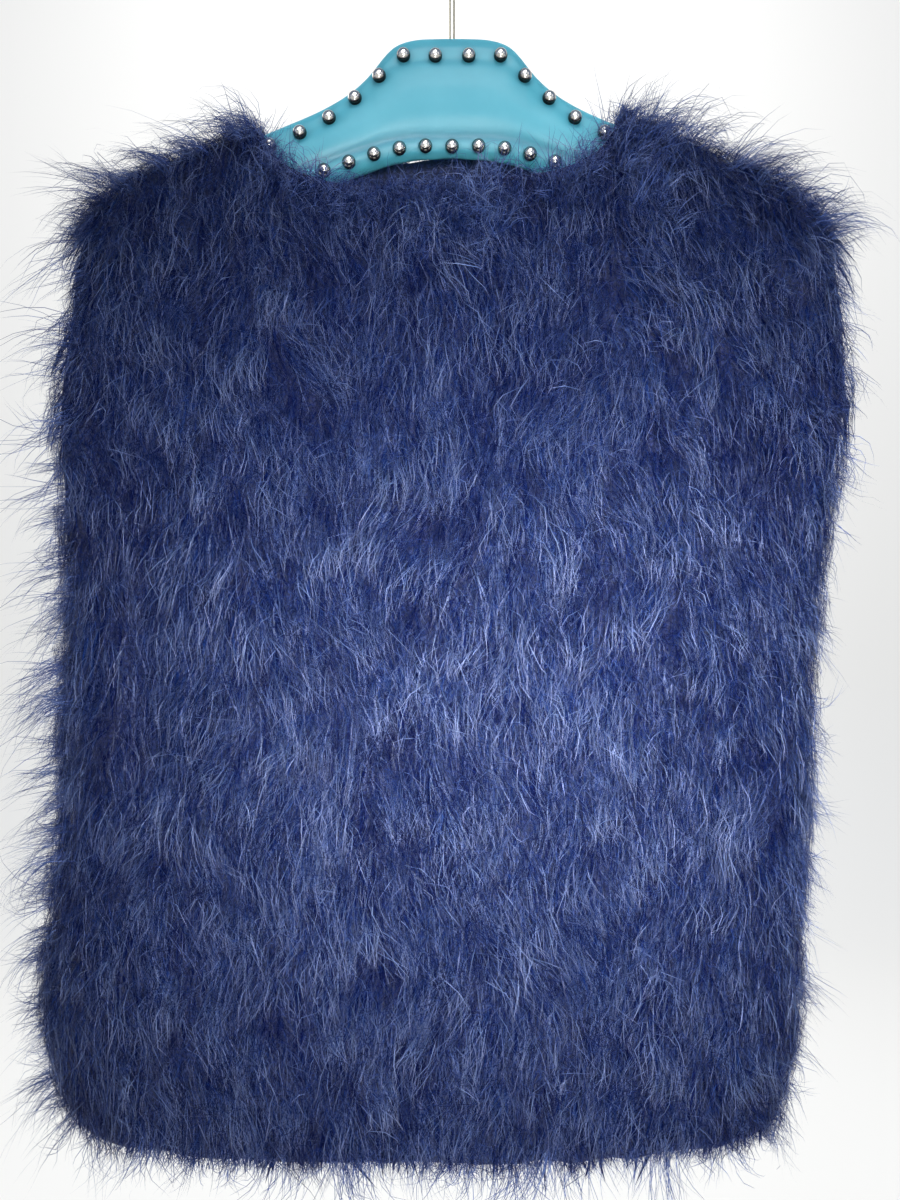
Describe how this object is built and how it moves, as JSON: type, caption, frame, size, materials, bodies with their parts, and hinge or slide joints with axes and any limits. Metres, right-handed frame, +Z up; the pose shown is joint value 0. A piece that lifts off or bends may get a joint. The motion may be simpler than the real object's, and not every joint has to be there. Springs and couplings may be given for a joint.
{
  "type": "long-haired sweater vest on a padded hanger",
  "caption": "Sleeveless boat-neck pullover vest in long-haired blue knit, hung by its shoulders on a padded leather-covered hanger with domed studs and a wire hook.",
  "frame": {"origin": "top of the hook's inner curve, where a rail carries it", "axes": "+Z up along the hanging height, +X to the right of the picture across the shoulders, front of the vest towards -Y"},
  "size_m": [0.5074, 0.1256, 0.7849],
  "materials": {
    "long_haired_knit": "long brushed pile",
    "leather": "smooth, semi-gloss",
    "studs": "polished",
    "wire": "nickel plated"
  },
  "bodies": {
    "root": {"vest_front": "long_haired_knit", "vest_back": "long_haired_knit", "hanger_body": "leather", "hook": "wire", "stud_01": "studs", "stud_02": "studs", "stud_03": "studs", "stud_04": "studs", "stud_05": "studs", "stud_06": "studs", "stud_07": "studs", "stud_08": "studs", "stud_09": "studs", "stud_10": "studs", "stud_11": "studs", "stud_12": "studs", "stud_13": "studs", "stud_14": "studs", "stud_15": "studs", "stud_16": "studs", "stud_17": "studs", "stud_18": "studs", "stud_19": "studs", "stud_20": "studs", "stud_21": "studs", "stud_22": "studs", "stud_23": "studs", "stud_24": "studs"}
  },
  "joints": []
}
